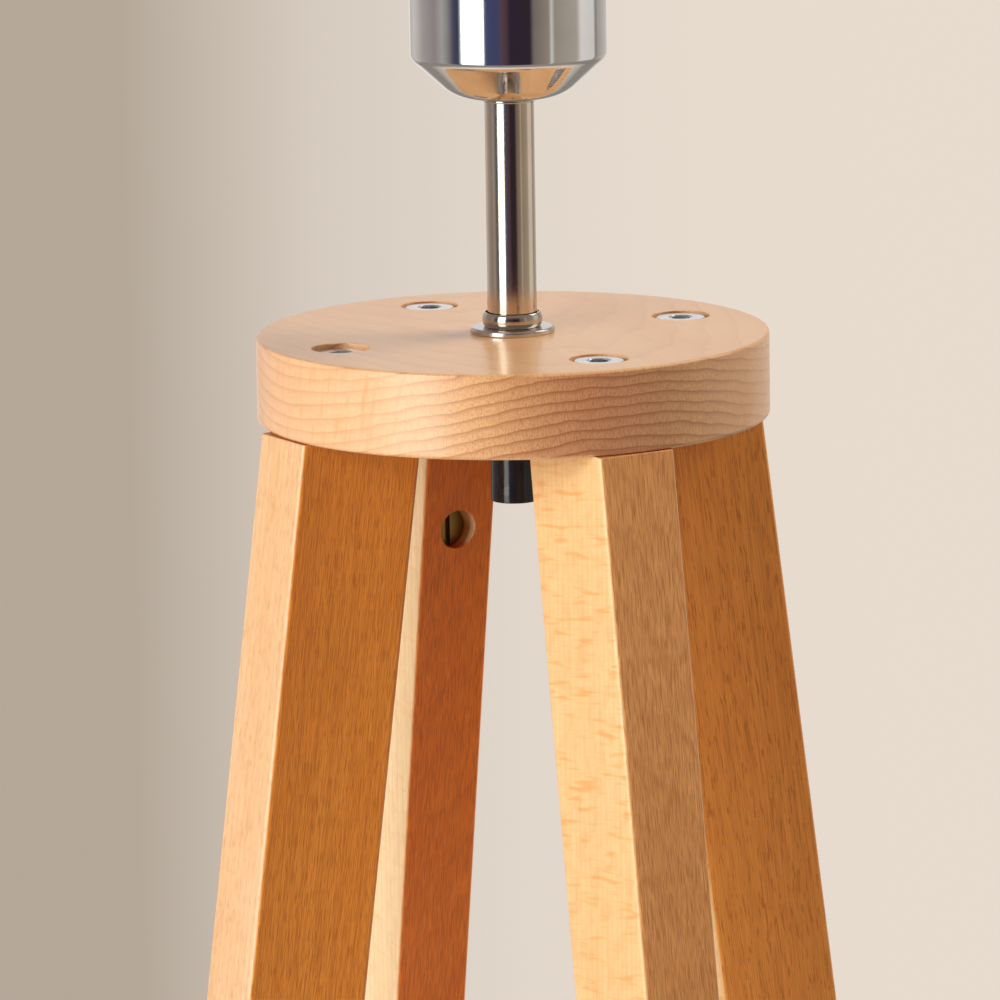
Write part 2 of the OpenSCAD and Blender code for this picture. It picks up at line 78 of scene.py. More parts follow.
def make_camera():
    forward = Vector((math.sin(CAMERA_YAW) * math.cos(CAMERA_PITCH),
                      math.cos(CAMERA_YAW) * math.cos(CAMERA_PITCH), -math.sin(CAMERA_PITCH)))
    level = Vector((math.cos(CAMERA_YAW), -math.sin(CAMERA_YAW), 0))
    upright = level.cross(forward)
    right = math.cos(CAMERA_ROLL) * level + math.sin(CAMERA_ROLL) * upright
    up = -math.sin(CAMERA_ROLL) * level + math.cos(CAMERA_ROLL) * upright
    camera = bpy.data.objects.new("camera", bpy.data.cameras.new("camera"))
    camera.matrix_world = Matrix((right, up, -forward)).transposed().to_4x4()
    camera.location = TOP + TOP_R * CAMERA_AT
    camera.data.lens = CAMERA_LENS
    camera.data.sensor_width = CAMERA_SENSOR
    camera.data.clip_end = CAMERA_REACH
    bpy.context.scene.collection.objects.link(camera)
    bpy.context.scene.camera = camera


# ---------- mesh helpers ----------

def turned(azimuth):
    return Matrix.Rotation(math.radians(azimuth), 4, "Z")


def at(x, y, z, turn=0):
    """A place in millimetres, turned in degrees about its Y axis."""
    return Matrix.Translation(Vector((x, y, z)) * MM) @ Matrix.Rotation(math.radians(turn), 4, "Y")


def add_object(name, mesh):
    piece = bpy.data.objects.new(name, mesh)
    bpy.context.scene.collection.objects.link(piece)
    return piece


def mesh_from(bm, name):
    mesh = bpy.data.meshes.new(name)
    bm.to_mesh(mesh)
    bm.free()
    return mesh


def bends(edge, angle):
    return len(edge.link_faces) == 2 and edge.calc_face_angle(0) > angle


def bevel(bm, edges, width, segments):
    bmesh.ops.bevel(bm, geom=edges, offset=width * MM, offset_type="OFFSET", segments=segments,
                    profile=0.5, affect="EDGES", clamp_overlap=True)


def smooth(piece, angle=32):
    """Smooth shading that stays sharp at edges over the angle, with large faces kept flat."""
    piece.data.shade_smooth()
    piece.data.set_sharp_from_angle(angle=math.radians(angle))
    weigh = piece.modifiers.new("weighted_normals", "WEIGHTED_NORMAL")
    weigh.keep_sharp = True
    return piece


def fillet(path, steps):
    """A closed outline's corners, each (x, y, radius), as points with those corners rounded."""
    points = []
    count = len(path)
    for i, (x, y, radius) in enumerate(path):
        here = Vector((x, y))
        if radius <= 0:
            points.append((x, y))
            continue
        before = (Vector(path[i - 1][:2]) - here).normalized()
        after = (Vector(path[(i + 1) % count][:2]) - here).normalized()
        half = before.angle(after) / 2
        middle = here + (before + after).normalized() * radius / math.sin(half)
        start = here + before * radius / math.tan(half) - middle
        end = here + after * radius / math.tan(half) - middle
        first = math.atan2(start.y, start.x)
        turn = (math.atan2(end.y, end.x) - first + 3 * PI) % (2 * PI) - PI
        for k in range(steps + 1):
            angle = first + turn * k / steps
            points.append((middle.x + radius * math.cos(angle), middle.y + radius * math.sin(angle)))
    return points


def lathe(name, profile, segments, place=None, slots=None):
    """A closed outline of (radius, height) points in millimetres, turned about Z.

    slots gives the material's number of the band that starts at each point.
    """
    bm = bmesh.new()
    rings = []
    for radius, height in profile:
        if radius == 0:
            rings.append([bm.verts.new((0, 0, height * MM))])
        else:
            rings.append([bm.verts.new((radius * MM * math.cos(2 * PI * k / segments),
                                        radius * MM * math.sin(2 * PI * k / segments), height * MM))
                          for k in range(segments)])
    for i, ring in enumerate(rings):
        other = rings[(i + 1) % len(rings)]
        for k in range(segments):
            n = (k + 1) % segments
            if len(ring) == 1 and len(other) == 1:
                break
            if len(ring) == 1:
                corners = (ring[0], other[k], other[n])
            elif len(other) == 1:
                corners = (ring[k], ring[n], other[0])
            else:
                corners = (ring[k], ring[n], other[n], other[k])
            face = bm.faces.new(corners)
            face.material_index = slots[i] if slots else 0
    bmesh.ops.recalc_face_normals(bm, faces=bm.faces)
    if place is not None:
        bm.transform(place)
    return add_object(name, mesh_from(bm, name))


def sweep(name, points, radius, sides):
    """A round wire along the points, in metres, with closed ends."""
    bm = bmesh.new()
    points = [Vector(p) for p in points]
    tangents = [(points[min(i + 1, len(points) - 1)] - points[max(i - 1, 0)]).normalized()
                for i in range(len(points))]
    side = tangents[0].orthogonal().normalized()
    rings = []
    for point, tangent in zip(points, tangents):
        side = (side - side.dot(tangent) * tangent).normalized()
        other = tangent.cross(side)
        rings.append([bm.verts.new(point + radius * (math.cos(2 * PI * k / sides) * side
                                                     + math.sin(2 * PI * k / sides) * other))
                      for k in range(sides)])
    for ring, following in zip(rings, rings[1:]):
        for k in range(sides):
            n = (k + 1) % sides
            bm.faces.new((ring[k], ring[n], following[n], following[k]))
    bm.faces.new(reversed(rings[0]))
    bm.faces.new(rings[-1])
    return add_object(name, mesh_from(bm, name))


def rod(radius, length, place, segments=64):
    """A closed cylinder to cut with: its foot at the place's origin, and its length along the place's Z."""
    return lathe("rod", [(0, 0), (radius, 0), (radius, length), (0, length)], segments, place)


def apply_modifiers(piece):
    view = bpy.context.evaluated_depsgraph_get()
    view.update()
    mesh = bpy.data.meshes.new_from_object(piece.evaluated_get(view))
    piece.modifiers.clear()
    piece.data = mesh


def cut(piece, *tools):
    """Takes the tools out of the piece, and removes them."""
    for tool in tools:
        modifier = piece.modifiers.new("cut", "BOOLEAN")
        modifier.operation = "DIFFERENCE"
        modifier.solver = "EXACT"
        modifier.object = tool
    apply_modifiers(piece)
    for tool in tools:
        bpy.data.objects.remove(tool)
    return piece


def refined(node, edge):
    """A copy of a CAD node's mesh with its hard edges bevelled by edge millimetres, to stand for the node."""
    hard_angle, flat_angle, same_place = math.radians(32), math.radians(0.4), 2e-6
    bm = bmesh.new()
    bm.from_mesh(frame["nodes"][node].data)
    for layer in list(bm.loops.layers.float_vector):
        bm.loops.layers.float_vector.remove(layer)
    bmesh.ops.remove_doubles(bm, verts=bm.verts, dist=same_place)
    bmesh.ops.dissolve_limit(bm, angle_limit=flat_angle, verts=bm.verts, edges=bm.edges)
    if edge > 0:
        bevel(bm, [e for e in bm.edges if bends(e, hard_angle)], edge, 2)
    piece = add_object(node + "_finished", mesh_from(bm, node))
    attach(smooth(piece), BODY_OF[node])
    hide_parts(node)
    return piece


def stand_for(piece, material, *nodes):
    """Gives a new piece its material, and puts it in the place of CAD nodes of one body."""
    if material is not None:
        piece.data.materials.clear()
        piece.data.materials.append(material)
    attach(piece, BODY_OF[nodes[0]])
    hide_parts(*nodes)
    return piece


# ---------- node helpers ----------

class Nodes:
    """A node tree, with short ways to add to it."""

    def __init__(self, owner):
        owner.use_nodes = True
        self.tree = owner.node_tree

    def new(self, kind):
        return self.tree.nodes.new("ShaderNode" + kind)

    def set(self, socket, value):
        if isinstance(value, bpy.types.NodeSocket):
            self.tree.links.new(value, socket)
        else:
            socket.default_value = value

    def math(self, operation, a, b=0.0, c=0.0):
        node = self.new("Math")
        node.operation = operation
        for socket, value in zip(node.inputs, (a, b, c)):
            self.set(socket, value)
        return node.outputs[0]

    def dot(self, vector, axis):
        node = self.new("VectorMath")
        node.operation = "DOT_PRODUCT"
        self.set(node.inputs[0], vector)
        node.inputs[1].default_value = axis
        return node.outputs["Value"]

    def join(self, x, y, z):
        node = self.new("CombineXYZ")
        for socket, value in zip(node.inputs, (x, y, z)):
            self.set(socket, value)
        return node.outputs[0]

    def noise(self, vector, scale=1.0, detail=2.0, rough=0.5):
        node = self.new("TexNoise")
        self.set(node.inputs["Vector"], vector)
        node.inputs["Scale"].default_value = scale
        node.inputs["Detail"].default_value = detail
        node.inputs["Roughness"].default_value = rough
        return node.outputs["Fac"]

    def ramp(self, value, *stops):
        """A map from value to grey or colour through (place, colour) stops."""
        node = self.new("ValToRGB")
        self.set(node.inputs[0], value)
        elements = node.color_ramp.elements
        while len(elements) < len(stops):
            elements.new(1.0)
        for element, (place, colour) in zip(elements, stops):
            element.position = place
            element.color = (*((colour,) * 3 if isinstance(colour, float) else colour), 1)
        return node.outputs["Color"]

    def mix(self, factor, a, b, blend="MIX"):
        node = self.new("Mix")
        node.data_type = "RGBA"
        node.blend_type = blend
        self.set(node.inputs["Factor"], factor)
        for name, value in (("A", a), ("B", b)):
            socket = [s for s in node.inputs if s.name == name and s.type == "RGBA"][0]
            self.set(socket, value if isinstance(value, bpy.types.NodeSocket) else (*value, 1))
        return [s for s in node.outputs if s.type == "RGBA"][0]


class Surface(Nodes):
    """A material's nodes round its shader."""

    def __init__(self, name):
        self.material = bpy.data.materials.new(name)
        super().__init__(self.material)
        self.shader = self.tree.nodes["Principled BSDF"]

    def bump(self, height, strength, distance):
        node = self.new("Bump")
        node.inputs["Strength"].default_value = strength
        node.inputs["Distance"].default_value = distance
        self.set(node.inputs["Height"], height)
        self.set(self.shader.inputs["Normal"], node.outputs[0])

    def place(self):
        return self.new("TexCoord").outputs["Object"]

    def finish(self, **sockets):
        for name, value in sockets.items():
            self.set(self.shader.inputs[name.replace("_", " ")], value)
        return self.material


# ---------- materials ----------

def times(colour, factors):
    return tuple(c * k for c, k in zip(colour, factors))


# what a face's colours are multiplied by: for its dark marks, for its ray flakes, and for end grain, which on the
# round top's side is also painted shade
DARK_MARK, FLAKE_MARK, END_GRAIN_AND_SHADE = (0.62, 0.50, 0.40), (0.98, 0.74, 0.55), (0.74, 0.60, 0.62)
# how far the grain's slow drift and the small waves in it move the growth rings, in metres
WANDER, RIPPLE = 0.006, 0.0028
# a year's ring: the shade deepens slowly and ends in a thin dark line
YEAR = ((0.0, 0.02), (0.5, 0.12), (0.76, 0.5), (0.9, 1.0), (1.0, 0.02))


def beech(name, grain, across, seed, flat, quarter, pith=(0.30, 0.04), ring_width=3.2, ring_depth=0.2,
          fleck_depth=0.6, spot_depth=0.3, flake_depth=0.5, quarter_rings=1.0, side_flecks=0.1,
          coat=(0.45, 0.27), plain=None):
    """Lacquered beech. grain runs along the board, and across points out through the growth rings.

    The rings are circles round a pith that lies (across, sideways) metres from the frame's origin. flat and
    quarter are each a pale and a deep colour, for faces cut along the rings and faces cut through them. The
    rings are quarter_rings times as strong on the latter. The depths and side_flecks are the strengths of the
    marks. Where plain is an axis, the figure is faint on faces square to it. coat is the lacquer's weight and
    roughness.
    """
    n = Surface(name)
    grain, across = Vector(grain).normalized(), Vector(across).normalized()
    sideways = grain.cross(across).normalized()
    place = n.place()
    along, out, side = n.dot(place, grain), n.dot(place, across), n.dot(place, sideways)

    def field(along_per_m, out_per_m, side_per_m, shift, detail, rough=0.5):
        return n.noise(n.join(n.math("MULTIPLY", along, along_per_m), n.math("MULTIPLY", out, out_per_m),
                              n.math("MULTIPLY_ADD", side, side_per_m, seed + shift)), 1.0, detail, rough)

    # growth rings, whose lines wander
    wander = n.math("MULTIPLY", n.math("SUBTRACT", field(2, 16, 16, 0, 3.0), 0.5), WANDER)
    out_w, side_w = n.math("ADD", out, wander), n.math("ADD", side, wander)
    dx, dy = n.math("SUBTRACT", out_w, pith[0]), n.math("SUBTRACT", side_w, pith[1])
    reach = n.math("SQRT", n.math("ADD", n.math("MULTIPLY", dx, dx), n.math("MULTIPLY", dy, dy)))
    reach = n.math("MULTIPLY_ADD", field(9, 120, 75, 41, 2.0), RIPPLE, reach)
    ring = n.ramp(n.math("FRACT", n.math("MULTIPLY", reach, 1 / (ring_width * MM))), *YEAR)

    def flecks(along_per_m, out_per_m, side_per_m, shift, low, high):
        """Marks that are as many to the metre each way, where their noise rises from low to high."""
        noise = n.noise(n.join(n.math("MULTIPLY_ADD", along, along_per_m, seed + shift),
                               n.math("MULTIPLY", out_w, out_per_m),
                               n.math("MULTIPLY", side_w, side_per_m)), 1.0, 1.0, 0.4)
        return n.ramp(noise, (low, 0.0), (high, 1.0))

    # pore flecks run along the grain, thin from side to side and deep from ring to ring
    fleck = flecks(150, 200, 3000, 3.1, 0.53, 0.63)
    # a few of them are longer and darker
    spot = flecks(150, 110, 1500, 31.3, 0.615, 0.66)
    # on faces cut through the rings they are short dashes
    dash = flecks(230, 1700, 400, 51.7, 0.56, 0.68)
    # fine lines run the length of the grain
    fine = flecks(45, 900, 3000, 9.7, 0.42, 0.72)
    # ray flakes and hair lines lie across the grain, and show on faces cut through the rings
    flake = flecks(520, 70, 60, 17.3, 0.57, 0.73)
    hair = flecks(1500, 110, 260, 23.9, 0.50, 0.78)

    facing = n.new("VectorTransform")
    facing.vector_type, facing.convert_from, facing.convert_to = "NORMAL", "WORLD", "OBJECT"
    n.set(facing.inputs[0], n.new("NewGeometry").outputs["Normal"])

    def square_to(axis, *stops):
        return n.ramp(n.math("ABSOLUTE", n.dot(facing.outputs[0], axis)), *stops)

    through = square_to(sideways, (0.45, 0.0), (0.78, 1.0))
    not_through = n.math("SUBTRACT", 1.0, n.math("MULTIPLY", through, 0.8))
    ring_share = n.math("MULTIPLY_ADD", through, quarter_rings - 1, 1.0)
    show = 1.0 if plain is None else square_to(plain, (0.6, 1.0), (0.9, 0.15))

    cloud = field(5, 30, 30, 5, 4.0, 0.6)
    patch = n.ramp(cloud, (0.3, 0.0), (0.72, 1.0))
    colour = n.mix(through, n.mix(patch, *flat), n.mix(patch, *quarter))
    dark = n.mix(through, times(flat[1], DARK_MARK), times(quarter[1], DARK_MARK))
    orange = times(quarter[1], FLAKE_MARK)
    for mask, share, depth, tone in (
            (ring, ring_share, ring_depth, dark), (flake, through, flake_depth, orange),
            (hair, through, 0.4 * flake_depth, orange), (fleck, not_through, fleck_depth, dark),
            (spot, not_through, spot_depth, dark), (dash, through, side_flecks, dark),
            (fine, not_through, 0.62, dark)):
        strength = n.math("MULTIPLY", n.math("MULTIPLY", n.math("MULTIPLY", mask, share), depth), show)
        colour = n.mix(strength, colour, tone)
    # end grain is darker; on the round top's side this darkening is also painted shade, on the part turned from
    # the key lights
    colour = n.mix(square_to(grain, (0.90, 0.0), (1.0, 1.0)), colour, END_GRAIN_AND_SHADE, "MULTIPLY")

    height = n.math("ADD", n.math("MULTIPLY", fleck, -0.7), n.math("MULTIPLY", cloud, 0.5))
    n.bump(height, 0.1, 0.4 * MM)
    rough = n.math("MULTIPLY_ADD", cloud, 0.12, 0.36)
    return n.finish(Base_Color=colour, Roughness=rough, Coat_Weight=coat[0], Coat_Roughness=coat[1], IOR=1.5)


def metal(name, colour, rough, streak=0.0, smear=0.02, scale=60.0):
    """Plated or turned metal with a slightly uneven gloss, and fine turning marks if streak is above 0."""
    n = Surface(name)
    place = n.place()
    cloud = n.noise(place, scale, 3.0)
    gloss = n.math("MULTIPLY_ADD", cloud, smear, rough)
    if streak > 0:
        # marks per metre: close together up the piece and long round it
        lines = n.noise(n.join(*(n.math("MULTIPLY", n.dot(place, axis), per_m) for axis, per_m in (
            ((1, 0, 0), 40.0), ((0, 1, 0), 40.0), ((0, 0, 1), 2600.0)))))
        gloss = n.math("MULTIPLY_ADD", lines, streak, gloss)
        n.bump(lines, 0.05, 0.1 * MM)
    tint = n.mix(n.ramp(cloud, (0.35, 0.0), (0.75, 1.0)), colour, times(colour, (0.9, 0.9, 0.9)))
    return n.finish(Base_Color=tint, Metallic=1.0, Roughness=gloss)


def plastic(name, colour, rough=0.18, grain=0.0):
    """Moulded plastic with a little waviness, and a fine spark texture if grain is above 0."""
    n = Surface(name)
    place = n.place()
    wave = n.noise(place, 180.0)
    spark = n.noise(place, 5200.0, 1.0)
    lighter = tuple(min(1.0, c * 1.25 + 0.004) for c in colour)
    tint = n.mix(n.ramp(wave, (0.3, 0.0), (0.8, 1.0)), colour, lighter)
    n.bump(n.math("ADD", n.math("MULTIPLY", wave, 0.5), n.math("MULTIPLY", spark, grain)), 0.08, 0.2 * MM)
    return n.finish(Base_Color=tint, Roughness=n.math("MULTIPLY_ADD", wave, 0.08, rough), IOR=1.48)


def opal_glass():
    n = Surface("opal_glass")
    tint = n.mix(n.noise(n.place(), 90.0), (0.93, 0.92, 0.88), (0.88, 0.87, 0.83))
    return n.finish(Base_Color=tint, Roughness=0.22, Subsurface_Weight=0.25,
                    Subsurface_Radius=(0.01, 0.009, 0.007), Coat_Weight=0.3, Coat_Roughness=0.08)


CHROME = metal("chrome", (0.86, 0.86, 0.87), 0.05, smear=0.04)
CHROME_SATIN = metal("satin_chrome", (0.74, 0.73, 0.72), 0.26, streak=0.1)
ZINC = metal("zinc_plate", (0.78, 0.82, 0.86), 0.16, smear=0.1, scale=300.0)
# the stem's chrome is tinted warm: a painted reflection of the wood below it
STEM_CHROME_PAINTED_WARM = metal("stem_chrome_painted_warm", (0.74, 0.64, 0.52), 0.12, smear=0.05)
# the collar's chrome is darker and warmer: a painted reflection of the wood and of dark surroundings
COLLAR_CHROME_PAINTED_DARK = metal("collar_chrome_painted_dark", (0.62, 0.55, 0.48), 0.08, smear=0.05)
STEEL = metal("steel", (0.55, 0.55, 0.56), 0.3, streak=0.1)
BRASS = metal("brass", (0.32, 0.24, 0.085), 0.32)
SPRING_WIRE = metal("spring_wire", (0.70, 0.70, 0.72), 0.18, smear=0.06)
BLACK = plastic("black_plastic", (0.012, 0.012, 0.014), 0.12)
BLACK_MATT = plastic("black_grip", (0.016, 0.016, 0.017), 0.38, grain=0.6)
WASHER_STEEL = metal("washer_steel", (0.66, 0.63, 0.60), 0.16, smear=0.08, scale=400.0)
PLATED = metal("plated_aluminium", (0.83, 0.83, 0.84), 0.11, smear=0.05)
WHITE = plastic("white_plastic", (0.82, 0.80, 0.76), 0.2)
ENAMEL = plastic("white_enamel", (0.86, 0.85, 0.82), 0.3)
OPAL = opal_glass()

# ---------- wooden base ----------

# sizes and places are in millimetres, and azimuths in degrees
LEGS = {"leg_front_left": 225, "leg_front_right": 315, "leg_back_left": 135, "leg_back_right": 45}
LEG_W, LEG_T, LEG_EDGE = 48.3, 30.6, 2.0
LEG_SPLAY = math.radians(7.75)
LEG_TURN = 4.9
LEG_OUT = TOP_R / MM - LEG_W / 2 / math.cos(LEG_SPLAY) + 0.8
FOOT_H = 4.0
TOP_Z = TOP.z / MM
UNDERSIDE = TOP_Z - TOP_T / MM
BOLT_R = 67.3
BOLT_HEAD_R, BOLT_HEAD_T = 9.25, 3.4
# how far each leg's bolt head lies below the top's face
HEAD_SINK = {225: 1.5, 315: 0.55, 135: 0.55, 45: 0.55}
COUNTERBORE_R, COUNTERBORE_RIM = 10.35, 0.35
SHANK_R, SHANK_HOLE_R = 4.0, 4.3
NUT_R, NUT_HOLE_R, NUT_LEN = 7.0, 7.1, 20.0
NUT_Z = sum(corner.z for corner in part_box("barrel_nuts")) / 2 / MM
# the nut's cross hole starts this far inwards of the bolt, in the air
NUT_HOLE_START = 30
DOWEL_HOLE_R, DOWEL_LEN, DOWEL_AT = 4.05, 30.0, BOLT_R + 16
FOOT_R = LEG_OUT + (UNDERSIDE - FOOT_H / 2) * math.tan(LEG_SPLAY)
GLIDE_HOLE_R, GLIDE_HOLE_H = 3.05, FOOT_H + 15
# the gap round a piece that another fits on
FIT = 0.05


def leg_place(azimuth):
    """A leg's own frame: its bolt on the diagonal, and the leg turned a little about the bolt."""
    return turned(azimuth) @ at(BOLT_R, 0, 0) @ turned(LEG_TURN) @ at(-BOLT_R, 0, 0)


def leg_section(inset):
    w, t, r = LEG_W / 2 - inset, LEG_T / 2 - inset, LEG_EDGE - inset / 2
    return fillet([(w, t, r), (-w, t, r), (-w, -t, r), (w, -t, r)], 7)


def leg_board(name):
    """A straight board that leans outwards, cut level at both ends, with small chamfers round the ends."""
    down = Vector((math.sin(LEG_SPLAY), 0, -math.cos(LEG_SPLAY)))
    wide = Vector((math.cos(LEG_SPLAY), 0, math.sin(LEG_SPLAY)))
    bm = bmesh.new()
    rings = []
    for height, inset in ((UNDERSIDE, 0.25), (UNDERSIDE - 0.25, 0), (FOOT_H + 1.5, 0), (FOOT_H, 1.2)):
        ring = []
        for u, v in leg_section(inset):
            start = Vector((LEG_OUT, v, UNDERSIDE)) + u * wide
            ring.append(bm.verts.new((start + down * (start.z - height) / -down.z) * MM))
        rings.append(ring)
    for ring, lower in zip(rings, rings[1:]):
        for k in range(len(ring)):
            n = (k + 1) % len(ring)
            bm.faces.new((ring[k], ring[n], lower[n], lower[k]))
    bm.faces.new(rings[0])
    bm.faces.new(rings[-1])
    bmesh.ops.recalc_face_normals(bm, faces=bm.faces)
    return add_object(name, mesh_from(bm, name))


def soften_rim(piece, centre, radius):
    """Bevels the sharp edges that lie round a hole's mouth."""
    bm = bmesh.new()
    bm.from_mesh(piece.data)
    bmesh.ops.remove_doubles(bm, verts=bm.verts, dist=1e-7)
    sharp = math.radians(50)
    bevel(bm, [e for e in bm.edges
               if bends(e, sharp) and all((v.co - centre).length < radius for v in e.verts)], 0.4, 3)
    bm.to_mesh(piece.data)
    bm.free()


# wood tones, each a pale and a deep one
PALE_LEG = ((0.80, 0.55, 0.275), (0.75, 0.475, 0.21))
PINK_LEG = ((0.79, 0.51, 0.29), (0.74, 0.43, 0.21))
# a lightened tone: painted light on the back left leg's faces cut through the rings, where the front left leg
# shades them
CREAM_LEG_PAINTED_LIGHT = ((0.96, 0.72, 0.43), (0.92, 0.64, 0.33))
BROWN_LEG = ((0.75, 0.283, 0.038), (0.65, 0.206, 0.019))
TAN_LEG = ((0.74, 0.35, 0.122), (0.64, 0.26, 0.074))
RED_LEG = ((0.90, 0.27, 0.024), (0.80, 0.19, 0.012))
AMBER_LEG = ((0.92, 0.36, 0.062), (0.84, 0.28, 0.036))
# each leg's tones on faces cut along the growth rings, and on faces cut through them; the back left leg's second
# holds painted light
LEG_TONES = {"leg_front_left": (BROWN_LEG, PINK_LEG), "leg_front_right": (TAN_LEG, PALE_LEG),
             "leg_back_left": (RED_LEG, CREAM_LEG_PAINTED_LIGHT), "leg_back_right": (AMBER_LEG, PALE_LEG)}
# how strong each leg's marks are: pore flecks, long flecks, ray flakes, and dashes on the faces cut through
LEG_FIGURE = {"leg_front_left": (0.75, 0.2, 0.1, 0.4), "leg_front_right": (0.65, 0.15, 0.8, 0.1),
              "leg_back_left": (0.5, 0.35, 0.3, 0.1), "leg_back_right": (0.18, 0.75, 0.35, 0.1)}

# the round top's end grain faces this way and a little down, and its pith lies below it
TOP_GRAIN, TOP_DIP = math.radians(-52), 0.12
TOP_ALONG = (math.cos(TOP_GRAIN), math.sin(TOP_GRAIN), -TOP_DIP)
TOP_ACROSS = (TOP_DIP * math.cos(TOP_GRAIN), TOP_DIP * math.sin(TOP_GRAIN), 1)
TOP_PITH = (TOP.z - 0.18, -0.005)
TOP_TONES = (((0.76, 0.437, 0.21), (0.70, 0.369, 0.159)), ((0.79, 0.485, 0.272), (0.74, 0.41, 0.207)))
ROUND_TOP_WOOD = beech("beech_round_top", TOP_ALONG, TOP_ACROSS, 61.0, *TOP_TONES, TOP_PITH, ring_width=3.7,
                       ring_depth=1.0, fleck_depth=0.15, spot_depth=0.1, quarter_rings=0.42,
                       coat=(0.6, 0.22), plain=(0, 0, 1))
DOWEL_WOOD = beech("beech_dowels", (0, 0, 1), (1, 0, 0), 83.0, *TOP_TONES)


def make_legs():
    for seed, (name, azimuth) in enumerate(LEGS.items()):
        board = leg_board(name + "_board")
        nut_hole_len = NUT_HOLE_START + NUT_LEN / 2 + FIT
        cut(board, rod(NUT_HOLE_R, nut_hole_len, at(BOLT_R - NUT_HOLE_START, 0, NUT_Z, 90), 72),
            rod(SHANK_HOLE_R, 120, at(BOLT_R, 0, NUT_Z - 12)),
            rod(DOWEL_HOLE_R, DOWEL_LEN, at(DOWEL_AT, 0, UNDERSIDE - DOWEL_LEN / 2 - 0.5)),
            rod(GLIDE_HOLE_R, GLIDE_HOLE_H, at(FOOT_R, 0, 0)))
        slope = (UNDERSIDE - NUT_Z) * math.tan(LEG_SPLAY)
        mouth = Vector((LEG_OUT - LEG_W / 2 / math.cos(LEG_SPLAY) + slope, 0, NUT_Z)) * MM
        soften_rim(board, mouth, (NUT_R + 1.2) * MM)
        board.data.transform(leg_place(azimuth))
        smooth(board, 28)
        out, tangent, grain = (leg_place(azimuth).to_3x3() @ Vector(axis) for axis in (
            (1, 0, 0), (0, 1, 0), (math.sin(LEG_SPLAY), 0, -math.cos(LEG_SPLAY))))
        across = tangent if name in ("leg_front_left", "leg_back_right") else out
        fleck, spot, flake, on_side = LEG_FIGURE[name]
        wood = beech("beech_" + name, grain, across, 11.0 * seed + 4, *LEG_TONES[name],
                     fleck_depth=fleck, spot_depth=spot, flake_depth=flake, side_flecks=on_side)
        stand_for(board, wood, name)


def make_round_top():
    r, t, bore = TOP_R / MM, TOP_T / MM, 8.5
    outline = fillet([(bore, 0, 0), (r, 0, 1.5), (r, t, 1.1), (bore, t, 0)], 6)
    top = lathe("round_top_board", outline, FINE_ROUND, at(0, 0, UNDERSIDE))
    rim = COUNTERBORE_RIM
    arc = [(COUNTERBORE_R + rim - rim * math.cos(a), -rim + rim * math.sin(a))
           for a in (PI / 2 * k / 5 for k in range(6))]
    tools = []
    for azimuth, sink in HEAD_SINK.items():
        depth = sink + BOLT_HEAD_T
        outline = [(0, -depth), (COUNTERBORE_R, -depth), *arc, (COUNTERBORE_R + rim, 1), (0, 1)]
        tools += [lathe("counterbore", outline, 96, turned(azimuth) @ at(BOLT_R, 0, TOP_Z)),
                  rod(SHANK_HOLE_R, t + 2, turned(azimuth) @ at(BOLT_R, 0, UNDERSIDE - 1)),
                  rod(DOWEL_HOLE_R, DOWEL_LEN / 2 + 1.5, leg_place(azimuth) @ at(DOWEL_AT, 0, UNDERSIDE - 1))]
    cut(top, *tools)
    smooth(top, 28)
    stand_for(top, ROUND_TOP_WOOD, "round_top")


def bolt_outline(length):
    """A flat connector bolt's outline, its head's face at height 0: a bevelled rim and a shallow dish."""
    outline = [(0, -length, 0), (SHANK_R - 0.6, -length, 0.3), (SHANK_R, -length + 0.8, 0.3),
               (SHANK_R, -BOLT_HEAD_T, 0.3), (BOLT_HEAD_R, -BOLT_HEAD_T, 0.3), (BOLT_HEAD_R, -0.6, 0.3),
               (BOLT_HEAD_R - 0.8, 0, 0.3), (4.4, 0, 0.15), (4.1, -0.3, 0.1), (0, -0.3, 0)]
    return fillet(outline, 3)


def gathered(pieces, name):
    """One piece made of all of these, which are removed."""
    bm = bmesh.new()
    for piece in pieces:
        bm.from_mesh(piece.data)
        bpy.data.objects.remove(piece)
    return smooth(add_object(name, mesh_from(bm, name)), 25)


def make_leg_bolts():
    def bolt(azimuth, sink):
        place = turned(azimuth) @ at(BOLT_R, 0, TOP_Z - sink)
        shank = lathe("bolt", bolt_outline(TOP_Z - sink - NUT_Z + 10), 72, place)
        socket = lathe("socket", [(0, -2.7), (3.7, -2.7), (3.7, 1), (0, 1)], 6, place @ turned(15))
        return cut(shank, socket)

    bolts = gathered((bolt(*item) for item in HEAD_SINK.items()), "leg_bolt_set")
    stand_for(bolts, ZINC, "leg_bolts")


def make_barrel_nuts():
    outline = fillet([(0, 0, 0), (NUT_R, 0, 0.5), (NUT_R, NUT_LEN, 0.5), (0, NUT_LEN, 0)], 3)

    def nut(azimuth):
        """A barrel with a screwdriver slot 2 mm wide in its inner end, and the bolt's hole across it."""
        place = leg_place(azimuth) @ at(BOLT_R - NUT_LEN / 2, 0, NUT_Z, 90)
        barrel = lathe("nut", outline, 64, place)
        slot_box = lathe("slot_box", [(0, -1), (14, -1), (14, 2), (0, 2)], 4,
                         place @ Matrix.Diagonal((1, 1 / 9.9, 1, 1)) @ turned(45))
        return cut(barrel, slot_box, rod(SHANK_R + FIT, 20, turned(azimuth) @ at(BOLT_R, 0, NUT_Z - 10)))

    nuts = gathered((nut(azimuth) for azimuth in HEAD_SINK), "barrel_nut_set")
    stand_for(nuts, BRASS, "barrel_nuts")


# ---------- swivel, stem and cup ----------

PIN_HOLE_R = 6.1
STEM_WALL = 2


def span(node):
    """A round node's outer radius and its lowest and highest heights, in millimetres."""
    low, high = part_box(node)
    return (high.x - low.x) / 2 / MM, low.z / MM, high.z / MM


def turned_piece(name, outline, material, node):
    """A piece turned about the stem's axis, from an outline's corners as fillet takes them."""
    piece = smooth(lathe(name, fillet(outline, 6), ROUND))
    stand_for(piece, material, node)
    return piece


